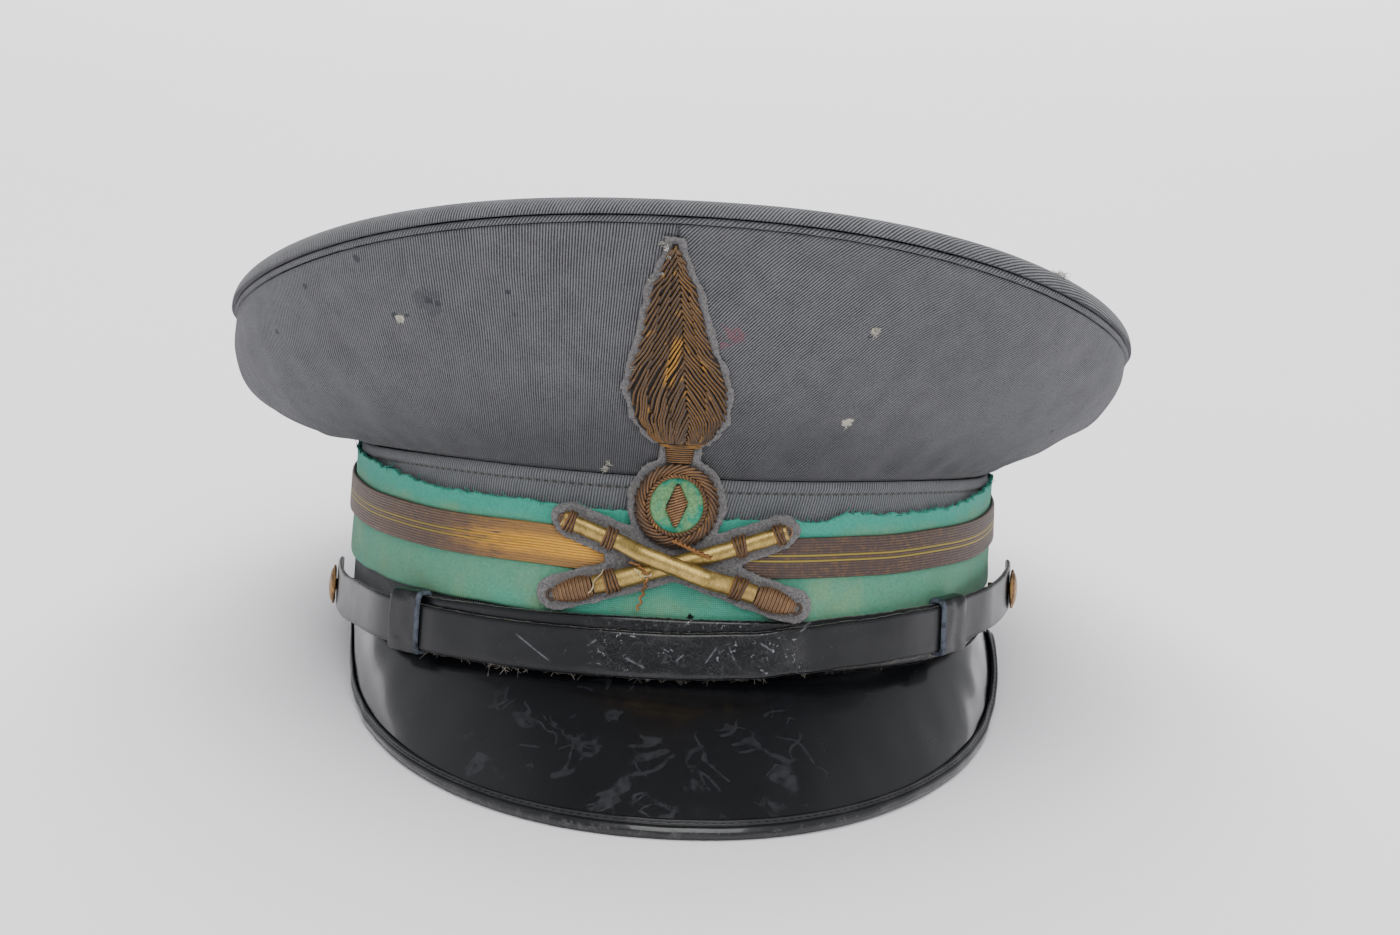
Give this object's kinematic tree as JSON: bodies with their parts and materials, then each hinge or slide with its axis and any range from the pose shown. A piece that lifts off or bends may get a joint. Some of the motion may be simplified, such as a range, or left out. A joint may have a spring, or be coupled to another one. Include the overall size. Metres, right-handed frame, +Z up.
{
  "type": "peaked service cap",
  "caption": "Wide-crowned military peaked cap of grey cloth with a green band, metal braid, bullion badge, leather chin strap and patent leather peak.",
  "frame": {"origin": "bottom centre of the bounding box, on the surface the cap rests on", "axes": "+Z up, the peak and badge face -Y, +X towards the right of the badge as it is seen from the front"},
  "size_m": [0.2394, 0.2756, 0.1433],
  "materials": {
    "crown_cloth": "ribbed wool twill, worn",
    "band_cloth": "ribbed wool twill, worn",
    "green_cloth": "faded wool cloth",
    "braid": "tarnished woven metal thread",
    "patent_leather": "glossy, scuffed",
    "strap_leather": "glossy, cracked",
    "button_brass": "tarnished",
    "badge_felt": "matte felt",
    "bullion": "tarnished metal purl and thread"
  },
  "bodies": {
    "root": {"crown_top": "crown_cloth", "crown_side": "crown_cloth", "rim_piping": "crown_cloth", "band": "band_cloth", "green_band": "green_cloth", "gold_braid": "braid", "peak": "patent_leather", "peak_binding": "patent_leather", "strap_front": "strap_leather", "strap_rear": "strap_leather", "slider_left": "strap_leather", "slider_right": "strap_leather", "button_left": "button_brass", "button_right": "button_brass", "badge_felt": "badge_felt", "flame": "bullion", "flame_neck": "bullion", "roundel_ring": "bullion", "roundel_ground": "green_cloth", "roundel_lozenge": "bullion", "cannon_upper": "bullion", "cannon_upper_breech": "bullion", "cannon_lower": "bullion", "cannon_lower_breech": "bullion"}
  },
  "joints": []
}
